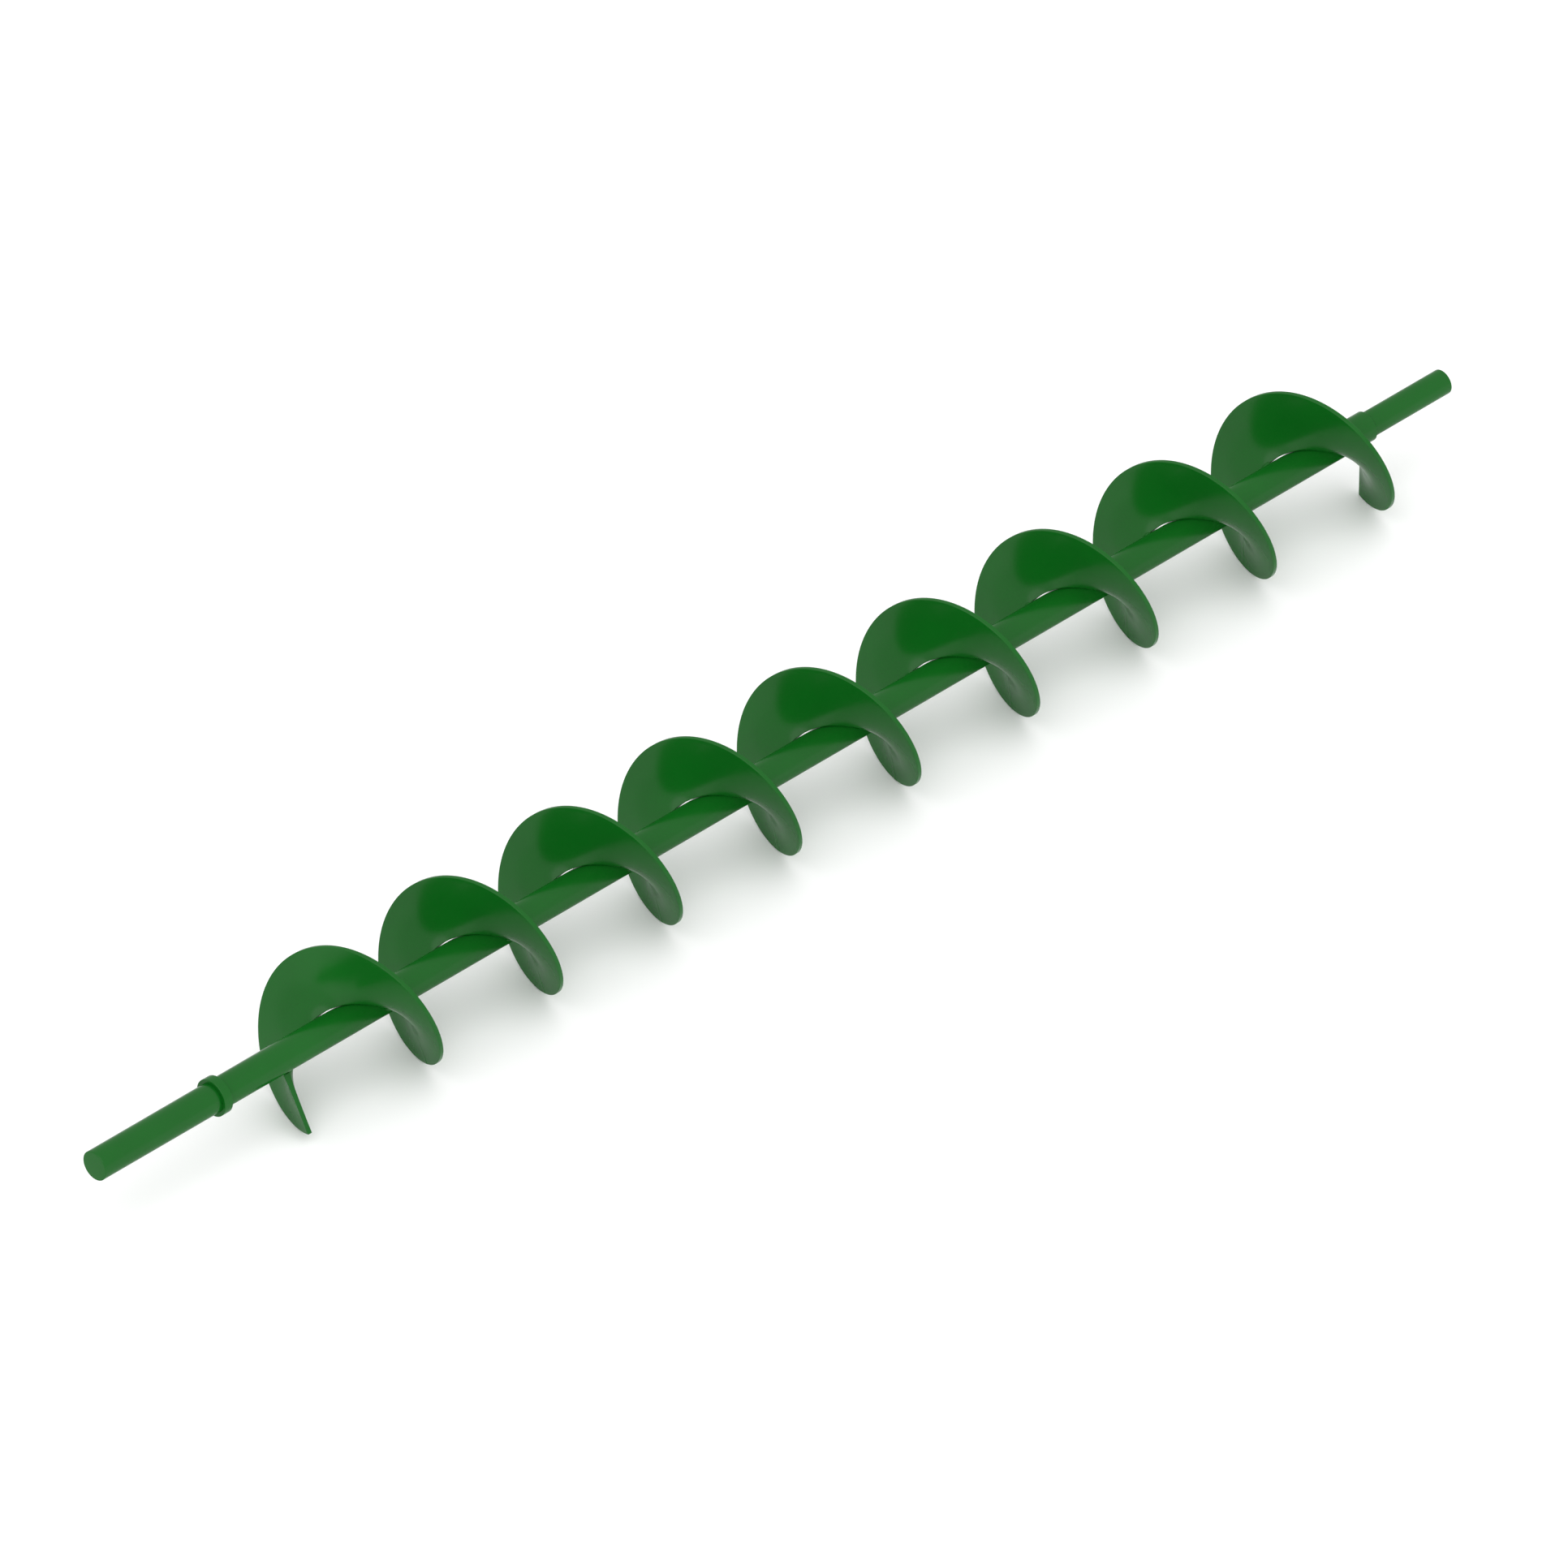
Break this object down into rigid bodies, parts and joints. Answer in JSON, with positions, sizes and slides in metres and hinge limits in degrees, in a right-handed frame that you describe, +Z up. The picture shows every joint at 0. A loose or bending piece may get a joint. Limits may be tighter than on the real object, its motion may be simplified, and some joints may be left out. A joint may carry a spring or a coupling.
{
  "type": "screw auger",
  "caption": "Long right-hand screw auger: helical flighting on a round tube, with a plain journal at each end and a thrust collar, painted green.",
  "frame": {"origin": "on the shaft axis at the thrust collar's outer face, where the drive journal begins", "axes": "+X along the shaft from the drive end to the tail end, +Z up, +Y to the back"},
  "size_m": [1.731, 0.153, 0.153],
  "materials": {
    "flight_paint": "gloss green enamel on pressed steel plate",
    "tube_paint": "gloss green enamel on drawn steel tube",
    "journal_paint": "gloss green enamel on turned steel bar",
    "weld_paint": "gloss green enamel over weld beads"
  },
  "bodies": {
    "root": {"shaft_tube": "tube_paint", "drive_journal": "journal_paint", "tail_journal": "journal_paint", "thrust_collar": "journal_paint", "collar_weld": "weld_paint", "tail_weld": "weld_paint", "flight_1": "flight_paint", "flight_2": "flight_paint", "flight_3": "flight_paint", "flight_4": "flight_paint", "flight_5": "flight_paint", "flight_6": "flight_paint", "flight_7": "flight_paint", "flight_8": "flight_paint", "flight_9": "flight_paint", "stitch_welds_1": "weld_paint", "stitch_welds_2": "weld_paint", "stitch_welds_3": "weld_paint", "stitch_welds_4": "weld_paint", "stitch_welds_5": "weld_paint", "stitch_welds_6": "weld_paint", "stitch_welds_7": "weld_paint", "stitch_welds_8": "weld_paint", "stitch_welds_9": "weld_paint", "butt_weld_1": "weld_paint", "butt_weld_2": "weld_paint", "butt_weld_3": "weld_paint", "butt_weld_4": "weld_paint", "butt_weld_5": "weld_paint", "butt_weld_6": "weld_paint", "butt_weld_7": "weld_paint", "butt_weld_8": "weld_paint"}
  },
  "joints": []
}
